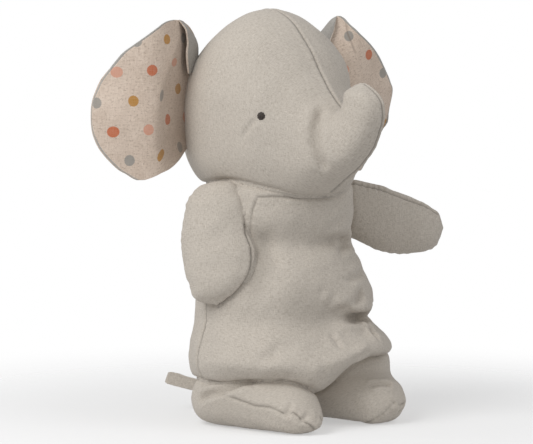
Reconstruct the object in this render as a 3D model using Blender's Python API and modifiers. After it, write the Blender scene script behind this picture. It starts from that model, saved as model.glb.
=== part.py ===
"""Stuffed linen elephant, standing: sewn skins over fibre filling, with a pellet pouch in its seat.

Metres, +Z up, the elephant faces -Y and its left is +X. The forms are written in millimetres
from the body axis, on the floor between the feet, and the origin is the middle of the bounding
box on the floor.
"""

import math

import bmesh
import bpy
from mathutils import Euler, Matrix, Vector
from mathutils.bvhtree import BVHTree

MM = 0.001
# Further than any point of the elephant from the middle of a form, for cutters and rays.
FAR = 400.0

# The middle of the bounding box, measured from the body axis.
BOX_MIDDLE_X = -0.26
BOX_MIDDLE_Y = -21.58

# Cloth and clearances.
SKIN_THICKNESS = 1.2
FILLING_GAP = 0.8
SEAM_GAP = 0.3
NEIGHBOUR_GAP = 0.4
JOINT_GAP = 1.0
# What a limb keeps from growing into, in its pocket: the pocket's facets lie inside its radius.
ROOT_GAP = 0.45
SOLE_FLAT = 0.5

# Neck: a dome on the torso that the head nods on.
NECK_PIVOT = Vector((0.0, -5.0, 150.0))
NECK_DOME_RADIUS = 75.0
NECK_DOME_ANGLES = (52, 35, 17, 0)

# Shoulders: each arm's root is round about its hinge and lies in a pocket of the torso.
SHOULDER = Vector((62.0, -12.0, 174.0))
SHOULDER_RADIUS = 22.0
SHOULDER_HALF_THICKNESS = 17.0
ROOT_ANGLES = (0, 38, 67)
# How far each arm's flat side is turned from the front, how far the arm leans out from
# hanging straight down, and how far its hinge is tipped to bring the hand forwards.
RIGHT_ARM_FACING = 46.0
RIGHT_ARM_LEAN = 1.0
RIGHT_ARM_TIP = 15.0
LEFT_ARM_FACING = -34.0
LEFT_ARM_LEAN = 76.0
LEFT_ARM_TIP = 0.0
# The angles that the torso is taken away from an arm at, so that it clears as it is raised.
RIGHT_ARM_CLEARED = (0.0, 12.5, 25.0, 37.5, 50.0, 62.5, 75.0)
LEFT_ARM_CLEARED = (-30.0, -20.0, -10.0, 0.0, 7.5, 15.0)

# Hips: each leg's top is a ball in a pocket of the torso.
HIP = Vector((43.0, -8.0, 38.0))
HIP_RADIUS = 32.0
LEG_SWING = 10.0
LEFT_FOOT_SPLAY = 3.0
RIGHT_FOOT_SPLAY = -3.0

# Ears: two layers of cloth, hung on the head's sides.
EAR_AXIS = Vector((65.0, 38.0, 270.0))
EAR_LAYER = 1.2
EAR_LAYER_GAP = 0.3
EAR_SWING = 10.0
LEFT_EAR_FORWARD = 9.0

# Face.
EYE_HEIGHT = 252.0
EYE_FORWARD = -48.0
EYE_RADIUS = 3.2
EYE_RISE = 1.6

# Pellet pouch in the seat.
POUCH_CENTRE = Vector((0.0, 24.0, 50.0))
POUCH_RADII = Vector((26.0, 25.0, 21.0))

# Tail: a folded strip, on edge, at the low back.
TAIL_LENGTH = 66.0
TAIL_WIDTH = 10.0
TAIL_THICKNESS = 2.0
TAIL_HEIGHT = 25.0
TAIL_TURN = 42.0

# Where the front and back panels of the torso meet, and where upper and sole meet.
SIDE_SEAM_Y = -5.0
SOLE_SEAM_HEIGHT = 17.0
SOLE_SEAM_SLOPE = 0.09


def round_end(radius, middle, height, angles, half_width=None):
    """Stations of a ball, at angles in degrees from its top, about a point of the form's plane."""
    stations = []
    for angle in angles:
        reach = radius * math.sin(math.radians(angle))
        level = height + radius * math.cos(math.radians(angle))
        half = (half_width or radius) * math.sin(math.radians(angle))
        stations.append(((middle - reach, level), (middle + reach, level), half))
    return stations


# Each form is a loft of rings. A station gives two opposite edges of the ring in the form's
# plane and the half width across it. The first and last stations are the closed ends.
TORSO_STATIONS = [
    ((-12, 27), (-12, 27), 0),
    ((-46, 28), (24, 28), 46),
    ((-78, 35), (46, 34), 74),
    ((-95, 52), (58, 52), 89),
    ((-84, 72), (59, 72), 86),
    ((-74, 86), (57, 86), 80),
    ((-73, 108), (52, 108), 77),
    ((-66, 130), (48, 130), 70),
    ((-56, 148), (46, 148), 63),
    ((-62, 168), (48, 168), 65),
    ((-63, 184), (50, 184), 63),
    *round_end(NECK_DOME_RADIUS, NECK_PIVOT.y, NECK_PIVOT.z, NECK_DOME_ANGLES),
]
HEAD_STATIONS = [
    ((82, 256), (82, 256), 0),
    ((77, 280), (78, 230), 27),
    ((62, 305), (62, 202), 50),
    ((38, 325), (38, 186), 65),
    ((8, 338), (8, 180), 72),
    ((-20, 329), (-20, 180), 68),
    ((-42, 307), (-44, 181), 60),
    ((-57, 286), (-64, 187), 47),
    ((-70, 270), (-84, 199), 35),
    ((-82, 259), (-105, 213), 25),
    ((-88, 258), (-120, 232), 20),
    ((-92, 263), (-128, 256), 18),
    ((-95, 272), (-124, 269), 15),
    ((-107, 278), (-107, 278), 0),
]
ARM_STATIONS = [
    *round_end(SHOULDER_RADIUS, 0.0, 0.0, ROOT_ANGLES, SHOULDER_HALF_THICKNESS),
    ((-23, -6), (23, -6), 17),
    ((-27, -26), (27, -26), 18),
    ((-31, -47), (29, -47), 18),
    ((-29, -62), (26, -62), 17),
    ((-22, -75), (18, -75), 13),
    ((-4, -83), (-4, -83), 0),
]
LEG_STATIONS = [
    *round_end(HIP_RADIUS, HIP.y, HIP.z, ROOT_ANGLES),
    ((-41, 38), (26, 36), 33),
    ((-50, 36), (32, 16), 37),
    ((-60, 39), (18, -SOLE_FLAT), 37),
    ((-75, 38), (-22, -SOLE_FLAT), 33),
    ((-87, 32), (-62, -SOLE_FLAT), 25),
    ((-93, 24), (-84, 1), 16),
    ((-97, 14), (-97, 14), 0),
]
# Ear rows, bottom to top: height, inner edge and outer edge, measured along the cloth from the root.
EAR_ROWS = [
    (198.5, 48, 64),
    (203, 32, 70),
    (211, 8, 80),
    (224, -12, 90),
    (240, -18, 96.5),
    (256, -20, 97),
    (272, -20, 92),
    (288, -20, 81),
    (303, -20, 66),
    (316, -20, 48),
    (325, -16, 30),
    (329, -8, 10),
]
# The cloth of an ear seen from above: distance along it, then its place out and back.
EAR_PLAN = [
    (-22, 46, 45),
    (0, 65, 38),
    (41, 103, 23),
    (70, 131, 31),
    (97, 155, 43),
]

SIDES = (("right", -1), ("left", 1))
ARM_TURNS = {"right": (RIGHT_ARM_FACING, RIGHT_ARM_TIP), "left": (LEFT_ARM_FACING, LEFT_ARM_TIP)}

# Facets: segments round each form, and rings along it.
TORSO_FACETS = (22, 17)
HEAD_FACETS = (22, 20)
ARM_FACETS = (16, 11)
LEG_FACETS = (16, 12)
POCKET_FACETS = (24, 16)
NECK_FACETS = (26, 18)
POUCH_FACETS = (14, 8)
EYE_FACETS = (12, 6)
EAR_COLUMNS = 7
EAR_ROW_COUNT = 10
# How square the underside of the head and the legs is: 2 is round.
HEAD_LOW_POWER = 2.9
LEG_LOW_POWER = 2.6

LINEN = (0.53, 0.49, 0.43)
LINING = (0.62, 0.52, 0.42)
FIBRE = (0.85, 0.84, 0.80)
PELLET_CLOTH = (0.72, 0.70, 0.66)
THREAD = (0.045, 0.035, 0.03)


def remove_everything():
    for obj in list(bpy.data.objects):
        bpy.data.objects.remove(obj, do_unlink=True)


def new_collection(name):
    collection = bpy.data.collections.new(name)
    bpy.context.scene.collection.children.link(collection)
    return collection


def material(name, colour, roughness=0.92):
    mat = bpy.data.materials.new(name)
    mat.use_nodes = True
    shader = mat.node_tree.nodes["Principled BSDF"]
    shader.inputs["Base Color"].default_value = (*colour, 1.0)
    shader.inputs["Roughness"].default_value = roughness
    shader.inputs["Metallic"].default_value = 0.0
    return mat


def catmull_rom(points, place):
    """The value at a fractional index of a list of equal-length vectors."""
    last = len(points) - 1
    index = min(int(place), last - 1)
    t = place - index
    before = points[max(index - 1, 0)]
    here = points[index]
    there = points[index + 1]
    after = points[min(index + 2, last)]
    return [
        0.5 * (2 * b + (c - a) * t + (2 * a - 5 * b + 4 * c - d) * t * t
               + (3 * b - a - 3 * c + d) * t ** 3)
        for a, b, c, d in zip(before, here, there, after)
    ]


def rounded(value, power):
    """A cosine or sine bent to a squarer outline when the power is above 2."""
    return math.copysign(abs(value) ** (2 / power), value)


def lofted_form(stations, facets, plane, inset=0.0, low_power=2.0, floor=None):
    """A closed, swelling form: a sphere whose rings are carried to the stations.

    plane maps (across, first, second) to the form's own axes. inset draws the surface in, and
    floor is the height that a standing form is cut flat at.
    """
    rows = [(*first, *second, half) for first, second, half in stations]
    bm = bmesh.new()
    bmesh.ops.create_uvsphere(bm, u_segments=facets[0], v_segments=facets[1], radius=1.0)
    for vert in bm.verts:
        along = math.acos(max(-1.0, min(1.0, vert.co.z))) / math.pi
        turn = math.atan2(vert.co.y, vert.co.x) if abs(vert.co.z) < 0.9999 else 0.0
        u1, v1, u2, v2, half = catmull_rom(rows, along * (len(rows) - 1))
        power = low_power if math.sin(turn) < 0 else 2.0
        rise = rounded(math.sin(turn), power)
        across = rounded(math.cos(turn), power) * max(half, 0.0)
        u = (u1 + u2) / 2 + (u1 - u2) / 2 * rise
        v = (v1 + v2) / 2 + (v1 - v2) / 2 * rise
        vert.co = plane(across, u, v)
    if bm.calc_volume(signed=True) < 0:
        bmesh.ops.reverse_faces(bm, faces=bm.faces)
    if inset:
        bm.normal_update()
        moved = [vert.co - vert.normal * inset for vert in bm.verts]
        for vert, place in zip(bm.verts, moved):
            vert.co = place
    if floor is not None:
        cut_flat(bm, Vector((0, 0, floor + inset)), Vector((0, 0, -1)))
    return bm


def cut_flat(bm, place, outward):
    """Take away what lies beyond a plane and close the cut."""
    geometry = bm.verts[:] + bm.edges[:] + bm.faces[:]
    cut = bmesh.ops.bisect_plane(bm, geom=geometry, plane_co=place, plane_no=outward, clear_outer=True)
    rim = [item for item in cut["geom_cut"] if isinstance(item, bmesh.types.BMEdge)]
    bmesh.ops.contextual_create(bm, geom=rim)
    if bm.calc_volume(signed=True) < 0:
        bmesh.ops.reverse_faces(bm, faces=bm.faces)


def upright(across, u, v):
    """Head, torso and legs: the form's plane is the YZ plane."""
    return Vector((across, u, v))


def facing(across, u, v):
    """Arms: the form's plane is the XZ plane, with its thickness along Y."""
    return Vector((u, across, v))


def ball(radii, centre, facets):
    bm = bmesh.new()
    bmesh.ops.create_uvsphere(bm, u_segments=facets[0], v_segments=facets[1], radius=1.0)
    bmesh.ops.transform(bm, verts=bm.verts, matrix=Matrix.Translation(centre) @ Matrix.Diagonal((*radii, 1)))
    return bm


def block(low, high):
    """A box between two corners."""
    low, high = Vector(low), Vector(high)
    bm = bmesh.new()
    bmesh.ops.create_cube(bm, size=1.0)
    stretch = Matrix.Diagonal((*(high - low), 1))
    bmesh.ops.transform(bm, verts=bm.verts, matrix=Matrix.Translation((low + high) / 2) @ stretch)
    return bm


def add_object(bm, name, collection, parent, mat=None, origin=(0, 0, 0)):
    """Put a form written in millimetres into the scene, about an origin in the parent's frame."""
    origin = Vector(origin)
    bmesh.ops.translate(bm, verts=bm.verts, vec=-origin)
    bmesh.ops.scale(bm, verts=bm.verts, vec=(MM, MM, MM))
    mesh = bpy.data.meshes.new(name)
    bm.to_mesh(mesh)
    bm.free()
    mesh.shade_smooth()
    mesh.set_sharp_from_angle(angle=math.radians(50))
    obj = bpy.data.objects.new(name, mesh)
    obj.location = origin * MM
    obj.parent = parent
    collection.objects.link(obj)
    if mat:
        mesh.materials.append(mat)
    return obj


def add_cutter(bm, name, parent, origin=(0, 0, 0)):
    obj = add_object(bm, name, CUTTERS, parent, origin=origin)
    obj.hide_render = True
    obj.display_type = "WIRE"
    return obj


def add_empty(name, location, parent=None, rotation=(0, 0, 0)):
    empty = bpy.data.objects.new(name, None)
    empty.location = Vector(location) * MM
    empty.rotation_euler = rotation
    empty.parent = parent
    ELEPHANT.objects.link(empty)
    return empty


def boolean(obj, cutter, operation="DIFFERENCE"):
    modifier = obj.modifiers.new(f"{operation.lower()}_{cutter.name}", "BOOLEAN")
    modifier.operation = operation
    modifier.solver = "EXACT"
    modifier.object = cutter
    return obj


def boolean_all(objects, cutters):
    for obj in objects:
        for cutter in cutters:
            boolean(obj, cutter)


class Stuffed:
    """A sewn form: its outer surface, the hollow of its skin, and its filling."""

    def __init__(self, name, parent, stations, facets, plane, low_power=2.0, floor=None):
        self.parent = parent
        self.loft = (stations, facets, plane)
        self.shape = {"low_power": low_power, "floor": floor}
        self.hollow = add_cutter(self.form(SKIN_THICKNESS), f"cut_{name}_hollow", parent)

    def form(self, inset=0.0):
        return lofted_form(*self.loft, inset=inset, **self.shape)

    def panel(self, name, mat, *seam_cutters):
        obj = add_object(self.form(), name, ELEPHANT, self.parent, mat)
        boolean_all([obj], [self.hollow, *seam_cutters])
        return obj

    def filling(self, name):
        return add_object(self.form(SKIN_THICKNESS + FILLING_GAP), name, ELEPHANT, self.parent, FIBRE_MAT)


def half_space(name, parent, low, high):
    return add_cutter(block(low, high), f"cut_{name}", parent)


def make_torso(pockets):
    torso = Stuffed("torso", BODY, TORSO_STATIONS, TORSO_FACETS, upright)
    half = SEAM_GAP / 2
    behind = half_space("behind_side_seam", BODY, (-FAR, SIDE_SEAM_Y - half, -FAR), (FAR, FAR, FAR))
    ahead = half_space("ahead_side_seam", BODY, (-FAR, -FAR, -FAR), (FAR, SIDE_SEAM_Y + half, FAR))
    left = half_space("left_of_middle", BODY, (-half, -FAR, -FAR), (FAR, FAR, FAR))
    right = half_space("right_of_middle", BODY, (-FAR, -FAR, -FAR), (half, FAR, FAR))
    torso.panel("torso_front_panel", LINEN_MAT, *pockets, behind)
    torso.panel("torso_back_right_panel", LINEN_MAT, *pockets, ahead, left)
    torso.panel("torso_back_left_panel", LINEN_MAT, *pockets, ahead, right)
    filling = torso.filling("torso_filling")
    inner = add_cutter(torso.form(SKIN_THICKNESS + FILLING_GAP), "cut_torso_inside", BODY)
    pouch_space = POUCH_RADII + Vector((FILLING_GAP, FILLING_GAP, FILLING_GAP))
    boolean(filling, add_cutter(ball(pouch_space, POUCH_CENTRE, POUCH_FACETS), "cut_pouch_space", BODY))
    pouch_form = ball(POUCH_RADII, POUCH_CENTRE, POUCH_FACETS)
    pouch = add_object(pouch_form, "pellet_pouch", ELEPHANT, BODY, PELLET_MAT)
    boolean(pouch, inner, "INTERSECT")
    boolean_all([filling, pouch], pockets)
    return torso


def torso_relief(torso, name, pockets, centre, axis, angles):
    """The torso let out by a gap, with its pockets open, to cut a limb.

    It is joined with itself turned back about the limb's hinge by each of the angles, in
    degrees, that the limb swings to.
    """
    relief = None
    for angle in angles:
        swung = torso.form(-NEIGHBOUR_GAP)
        turn = Matrix.Rotation(-math.radians(angle), 3, axis)
        bmesh.ops.rotate(swung, verts=swung.verts, cent=centre, matrix=turn)
        cutter = add_cutter(swung, f"cut_{name}_at_{angle:+.1f}", BODY)
        if relief is None:
            relief = cutter
        else:
            boolean(relief, cutter, "UNION")
    boolean_all([relief], pockets)
    return relief


def pocket(name, centre, radii, turn=None):
    """The round space in the torso that a limb's root turns in."""
    space = ball(radii, Vector(), POCKET_FACETS)
    if turn:
        bmesh.ops.rotate(space, verts=space.verts, matrix=turn.to_matrix())
    bmesh.ops.translate(space, verts=space.verts, vec=centre)
    return add_cutter(space, f"cut_{name}_pocket", BODY)


def arm_turn(side, sign):
    """How an arm's hinge, along its own Y axis, is turned from the front and tipped."""
    facing_turn, tip = ARM_TURNS[side]
    return Euler((-math.radians(tip), 0.0, sign * math.radians(facing_turn)))


def make_pockets(word, gap):
    """The spaces of all four limbs' roots, let out by a gap."""
    pockets = []
    shoulder_radii = Vector((SHOULDER_RADIUS, SHOULDER_HALF_THICKNESS, SHOULDER_RADIUS)) + Vector((gap,) * 3)
    hip_radii = (HIP_RADIUS + gap,) * 3
    for side, sign in SIDES:
        shoulder = mirrored(SHOULDER, sign)
        pockets.append(pocket(f"arm_{side}_{word}", shoulder, shoulder_radii, arm_turn(side, sign)))
        pockets.append(pocket(f"leg_{side}_{word}", mirrored(HIP, sign), hip_radii))
    return pockets


def mirrored(place, sign):
    return Vector((sign * place.x, place.y, place.z))


def make_head():
    head_joint = add_empty("neck_pivot", NECK_PIVOT, BODY)
    frame = add_empty("head_frame", -NECK_PIVOT, head_joint)
    head = Stuffed("head", frame, HEAD_STATIONS, HEAD_FACETS, upright, low_power=HEAD_LOW_POWER)
    half = SEAM_GAP / 2
    left = half_space("head_left_of_middle", frame, (-half, -FAR, -FAR), (FAR, FAR, FAR))
    right = half_space("head_right_of_middle", frame, (-FAR, -FAR, -FAR), (half, FAR, FAR))
    dome_radius = NECK_DOME_RADIUS + JOINT_GAP
    dome = add_cutter(ball((dome_radius,) * 3, NECK_PIVOT, NECK_FACETS), "cut_neck_dome", BODY)
    pieces = [
        head.panel("head_right_panel", LINEN_MAT, left),
        head.panel("head_left_panel", LINEN_MAT, right),
        head.filling("head_filling"),
    ]
    boolean_all(pieces, [dome])
    return head, frame


def make_eyes(head, frame):
    surface = head.form()
    tree = BVHTree.FromBMesh(surface)
    for side, sign in SIDES:
        start = Vector((sign * FAR, EYE_FORWARD, EYE_HEIGHT))
        place, normal, _, _ = tree.ray_cast(start, Vector((-sign, 0.0, 0.0)))
        knot = ball((EYE_RADIUS, EYE_RADIUS, EYE_RISE), Vector(), EYE_FACETS)
        cut_flat(knot, Vector(), Vector((0, 0, -1)))
        turn = normal.to_track_quat("Z", "Y").to_matrix()
        bmesh.ops.rotate(knot, verts=knot.verts, matrix=turn)
        bmesh.ops.translate(knot, verts=knot.verts, vec=place + normal * NEIGHBOUR_GAP)
        add_object(knot, f"eye_{side}", ELEPHANT, frame, THREAD_MAT)
    surface.free()


def ear_sheet(offset, sign):
    """One layer of an ear as an open surface, offset forwards from the ear's middle."""
    bm = bmesh.new()
    bmesh.ops.create_grid(bm, x_segments=EAR_COLUMNS, y_segments=EAR_ROW_COUNT, size=1.0)
    for vert in bm.verts:
        across = (vert.co.x + 1) / 2
        height, inner, outer = catmull_rom(EAR_ROWS, (vert.co.y + 1) / 2 * (len(EAR_ROWS) - 1))
        out, back = ear_plan(inner + (outer - inner) * across)
        ahead_out, ahead_back = ear_plan(inner + (outer - inner) * across + 1.0)
        normal = Vector((ahead_back - back, out - ahead_out)).normalized()
        vert.co = (sign * (out + normal.x * offset), back + normal.y * offset, height)
    bmesh.ops.recalc_face_normals(bm, faces=bm.faces)
    return bm


def ear_plan(distance):
    """The place of the ear's cloth, out from the middle and back, at a distance from its root."""
    index = 0
    while index < len(EAR_PLAN) - 2 and distance > EAR_PLAN[index + 1][0]:
        index += 1
    span = EAR_PLAN[index + 1][0] - EAR_PLAN[index][0]
    _, out, back = catmull_rom(EAR_PLAN, index + (distance - EAR_PLAN[index][0]) / span)
    return out, back


def make_ear(side, sign, head, head_frame):
    axis_place = mirrored(EAR_AXIS, sign)
    forward = LEFT_EAR_FORWARD if side == "left" else 0.0
    hinge = add_empty(f"ear_{side}_hinge", axis_place, head_frame, (0, 0, -sign * math.radians(forward)))
    pieces = []
    step = (EAR_LAYER + EAR_LAYER_GAP) / 2
    for layer, offset, mat in (("front", step, LINING_MAT), ("back", -step, LINEN_MAT)):
        sheet = ear_sheet(offset, sign)
        bmesh.ops.translate(sheet, verts=sheet.verts, vec=-axis_place)
        obj = add_object(sheet, f"ear_{side}_{layer}", ELEPHANT, hinge, mat)
        solidify = obj.modifiers.new("cloth", "SOLIDIFY")
        solidify.thickness = EAR_LAYER * MM
        solidify.offset = 0.0
        solidify.use_even_offset = True
        pieces.append(obj)
    for swing in (-EAR_SWING, 0.0, EAR_SWING):
        relief = head.form(-NEIGHBOUR_GAP)
        bmesh.ops.translate(relief, verts=relief.verts, vec=-axis_place)
        bmesh.ops.rotate(relief, verts=relief.verts, matrix=Matrix.Rotation(math.radians(swing), 3, "Z"))
        name = f"cut_ear_{side}_swing_{swing:+.0f}"
        turned = add_cutter(relief, name, add_empty(f"{name}_at", axis_place, head_frame))
        boolean_all(pieces, [turned])


def make_arm(side, sign, lean, torso, pockets, cleared):
    joint = add_empty(f"arm_{side}_hinge", mirrored(SHOULDER, sign), BODY, arm_turn(side, sign))
    limb = add_empty(f"arm_{side}_frame", (0, 0, 0), joint, (0, -sign * math.radians(lean), 0))
    arm = Stuffed(f"arm_{side}", limb, ARM_STATIONS, ARM_FACETS, facing)
    half = SEAM_GAP / 2
    back = half_space(f"arm_{side}_behind_seam", limb, (-FAR, -half, -FAR), (FAR, FAR, FAR))
    front = half_space(f"arm_{side}_ahead_seam", limb, (-FAR, -FAR, -FAR), (FAR, half, FAR))
    pieces = [
        arm.panel(f"arm_{side}_front_panel", LINEN_MAT, back),
        arm.panel(f"arm_{side}_back_panel", LINEN_MAT, front),
        arm.filling(f"arm_{side}_filling"),
    ]
    axis = arm_turn(side, sign).to_matrix() @ Vector((0.0, -sign, 0.0))
    relief = torso_relief(torso, f"arm_{side}_relief", pockets, mirrored(SHOULDER, sign), axis, cleared)
    boolean_all(pieces, [relief])


def make_leg(side, sign, splay, relief):
    joint = add_empty(f"leg_{side}_hinge", mirrored(HIP, sign), BODY)
    limb = add_empty(f"leg_{side}_frame", (0, 0, 0), joint, (0, 0, sign * math.radians(splay)))
    frame = add_empty(f"leg_{side}_form", (0, -HIP.y, -HIP.z), limb)
    leg = Stuffed(f"leg_{side}", frame, LEG_STATIONS, LEG_FACETS, upright, low_power=LEG_LOW_POWER, floor=0.0)
    half = SEAM_GAP / 2
    tilt = math.atan(SOLE_SEAM_SLOPE)
    under = block((-FAR, -FAR, -FAR), (FAR, FAR, half))
    above = block((-FAR, -FAR, -half), (FAR, FAR, FAR))
    seams = []
    for name, bm in (("under", under), ("above", above)):
        bmesh.ops.rotate(bm, verts=bm.verts, matrix=Matrix.Rotation(tilt, 3, "X"))
        bmesh.ops.translate(bm, verts=bm.verts, vec=(0, 0, SOLE_SEAM_HEIGHT))
        seams.append(add_cutter(bm, f"cut_leg_{side}_{name}_seam", frame))
    pieces = [
        leg.panel(f"leg_{side}_upper_panel", LINEN_MAT, seams[0]),
        leg.panel(f"leg_{side}_sole_panel", LINEN_MAT, seams[1]),
        leg.filling(f"leg_{side}_filling"),
    ]
    boolean_all(pieces, [relief])


def make_tail(torso):
    surface = torso.form()
    tree = BVHTree.FromBMesh(surface)
    start = Vector((0.0, FAR, TAIL_HEIGHT + TAIL_WIDTH / 2))
    place, _, _, _ = tree.ray_cast(start, Vector((0.0, -1.0, 0.0)))
    surface.free()
    root = place + Vector((0.0, NEIGHBOUR_GAP + TAIL_THICKNESS / 2, -TAIL_WIDTH / 2))
    hinge = add_empty("tail_hinge", root, BODY, (0, 0, math.radians(TAIL_TURN)))
    half_thickness, half_width = TAIL_THICKNESS / 2, TAIL_WIDTH / 2
    strip = block((-half_thickness, 0, -half_width), (half_thickness, TAIL_LENGTH, half_width))
    tail = add_object(strip, "tail_strap", ELEPHANT, hinge, LINEN_MAT)
    bevel = tail.modifiers.new("fold", "BEVEL")
    bevel.width = 0.4 * TAIL_THICKNESS * MM
    bevel.segments = 1


remove_everything()
ELEPHANT = new_collection("stuffed_elephant")
CUTTERS = new_collection("cutters")
LINEN_MAT = material("linen", LINEN)
LINING_MAT = material("dotted_lining", LINING)
FIBRE_MAT = material("fibre_filling", FIBRE)
PELLET_MAT = material("pellet_cloth", PELLET_CLOTH)
THREAD_MAT = material("eye_thread", THREAD, 0.6)
BODY = add_empty("body_axis", (-BOX_MIDDLE_X, -BOX_MIDDLE_Y, 0.0))

torso_form = make_torso(make_pockets("turning", JOINT_GAP))
limb_pockets = make_pockets("kept", ROOT_GAP)
hips = Vector((0.0, HIP.y, HIP.z))
leg_relief = torso_relief(torso_form, "leg_relief", limb_pockets, hips, "X", (0.0, LEG_SWING))
head_form, head_frame = make_head()
make_eyes(head_form, head_frame)
make_ear("right", -1, head_form, head_frame)
make_ear("left", 1, head_form, head_frame)
make_arm("right", -1, RIGHT_ARM_LEAN, torso_form, limb_pockets, RIGHT_ARM_CLEARED)
make_arm("left", 1, LEFT_ARM_LEAN, torso_form, limb_pockets, LEFT_ARM_CLEARED)
make_leg("right", -1, RIGHT_FOOT_SPLAY, leg_relief)
make_leg("left", 1, LEFT_FOOT_SPLAY, leg_relief)
make_tail(torso_form)
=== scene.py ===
import math

import bmesh
import bpy
import numpy as np
from mathutils import Euler, Matrix, Vector
from mathutils.bvhtree import BVHTree


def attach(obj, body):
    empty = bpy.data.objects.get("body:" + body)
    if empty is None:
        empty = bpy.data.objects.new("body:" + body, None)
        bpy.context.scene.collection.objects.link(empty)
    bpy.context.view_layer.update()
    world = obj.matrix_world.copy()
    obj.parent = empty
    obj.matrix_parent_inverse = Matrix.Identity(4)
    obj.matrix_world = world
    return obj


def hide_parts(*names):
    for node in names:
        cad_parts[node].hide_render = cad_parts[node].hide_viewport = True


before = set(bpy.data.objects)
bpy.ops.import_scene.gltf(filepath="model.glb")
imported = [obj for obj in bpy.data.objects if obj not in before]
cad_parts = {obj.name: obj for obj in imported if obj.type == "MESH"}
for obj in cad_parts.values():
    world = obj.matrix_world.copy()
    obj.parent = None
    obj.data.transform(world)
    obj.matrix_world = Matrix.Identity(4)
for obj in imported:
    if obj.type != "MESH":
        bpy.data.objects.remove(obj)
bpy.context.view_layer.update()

MM = 0.001
LEFT, RIGHT = 1, -1

# ---------------------------------------------------------------- camera
# The forms are written in millimetres from the body axis, as the solids are.
BODY_AXIS = np.array([0.26, 21.58, 0.0])
VIEW_AZIMUTH = math.radians(40.0)
VIEW_ELEVATION = math.radians(4.0)
VIEW_DISTANCE = 2000.0
VIEW_AIM = np.array([-5.4, 4.5, 162.5]) + BODY_AXIS
LENS = 163.3
SENSOR = 36.0
PHOTO_WIDTH, PHOTO_HEIGHT = 533, 444

VIEW_BACK = np.array([
    -math.sin(VIEW_AZIMUTH) * math.cos(VIEW_ELEVATION),
    -math.cos(VIEW_AZIMUTH) * math.cos(VIEW_ELEVATION),
    math.sin(VIEW_ELEVATION),
])
VIEW_RIGHT = np.array([math.cos(VIEW_AZIMUTH), -math.sin(VIEW_AZIMUTH), 0.0])
VIEW_UP = np.cross(VIEW_BACK, VIEW_RIGHT)
VIEW_PLACE = VIEW_AIM + VIEW_BACK * VIEW_DISTANCE


def make_camera():
    data = bpy.data.cameras.new("photo_view")
    data.lens = LENS
    data.sensor_width = SENSOR
    data.clip_start = 0.05
    data.clip_end = 50.0
    camera = bpy.data.objects.new("photo_view", data)
    bpy.context.scene.collection.objects.link(camera)
    turn = Matrix((VIEW_RIGHT, VIEW_UP, VIEW_BACK)).transposed()
    camera.matrix_world = Matrix.Translation(Vector(VIEW_PLACE) * MM) @ turn.to_4x4()
    bpy.context.scene.camera = camera


def sight_line(spot):
    """The direction that the camera sees a spot of the picture in."""
    scale = LENS / SENSOR * PHOTO_WIDTH
    across = (spot[0] - PHOTO_WIDTH / 2) / scale
    down = (spot[1] - PHOTO_HEIGHT / 2) / scale
    return Vector(VIEW_RIGHT * across - VIEW_UP * down - VIEW_BACK).normalized()


make_camera()

# ---------------------------------------------------------------- the forms' stations
NECK_PIVOT = (0.0, -5.0, 150.0)
NECK_DOME_RADIUS = 75.0
SHOULDER = (62.0, -12.0, 174.0)
SHOULDER_RADIUS = 22.0
SHOULDER_HALF_THICKNESS = 17.0
HIP = (43.0, -8.0, 38.0)
HIP_RADIUS = 32.0
EAR_AXIS = (65.0, 38.0, 270.0)
LEFT_EAR_FORWARD = 9.0
SIDE_SEAM_Y = -5.0
EYE_FORWARD, EYE_HEIGHT = -48.0, 252.0
EYE_RADIUS = 3.2
# How the arms are turned: which way each faces, how its tip comes forward and how far it is held out.
RIGHT_ARM_TURN = {"facing": 46.0, "tip": 15.0, "lean": 1.0}
LEFT_ARM_TURN = {"facing": -34.0, "tip": 0.0, "lean": 76.0}
RIGHT_FOOT_SPLAY, LEFT_FOOT_SPLAY = -3.0, 3.0
HEAD_LOW_POWER, LEG_LOW_POWER = 2.9, 2.6


def round_end(radius, middle, height, angles, half_width=None):
    """Stations of a ball's upper part, at angles from its top."""
    stations = []
    for angle in angles:
        reach = radius * math.sin(math.radians(angle))
        level = height + radius * math.cos(math.radians(angle))
        half = (half_width or radius) * math.sin(math.radians(angle))
        stations.append(((middle - reach, level), (middle + reach, level), half))
    return stations


TORSO_STATIONS = [
    ((-12, 27), (-12, 27), 0),
    ((-46, 28), (24, 28), 46),
    ((-78, 35), (46, 34), 74),
    ((-95, 52), (58, 52), 89),
    ((-84, 72), (59, 72), 86),
    ((-74, 86), (57, 86), 80),
    ((-73, 108), (52, 108), 77),
    ((-66, 130), (48, 130), 70),
    ((-56, 148), (46, 148), 63),
    ((-62, 168), (48, 168), 65),
    ((-63, 184), (50, 184), 63),
    *round_end(NECK_DOME_RADIUS, NECK_PIVOT[1], NECK_PIVOT[2], (52, 35, 17, 0)),
]
HEAD_STATIONS = [
    ((82, 256), (82, 256), 0),
    ((77, 280), (78, 230), 27),
    ((62, 305), (62, 202), 50),
    ((38, 325), (38, 186), 65),
    ((8, 338), (8, 180), 72),
    ((-20, 329), (-20, 180), 68),
    ((-42, 307), (-44, 181), 60),
    ((-57, 286), (-64, 187), 47),
    ((-70, 270), (-84, 199), 35),
    ((-82, 259), (-105, 213), 25),
    ((-88, 258), (-120, 232), 20),
    ((-92, 263), (-128, 256), 18),
    ((-95, 272), (-124, 269), 15),
    ((-107, 278), (-107, 278), 0),
]
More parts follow.
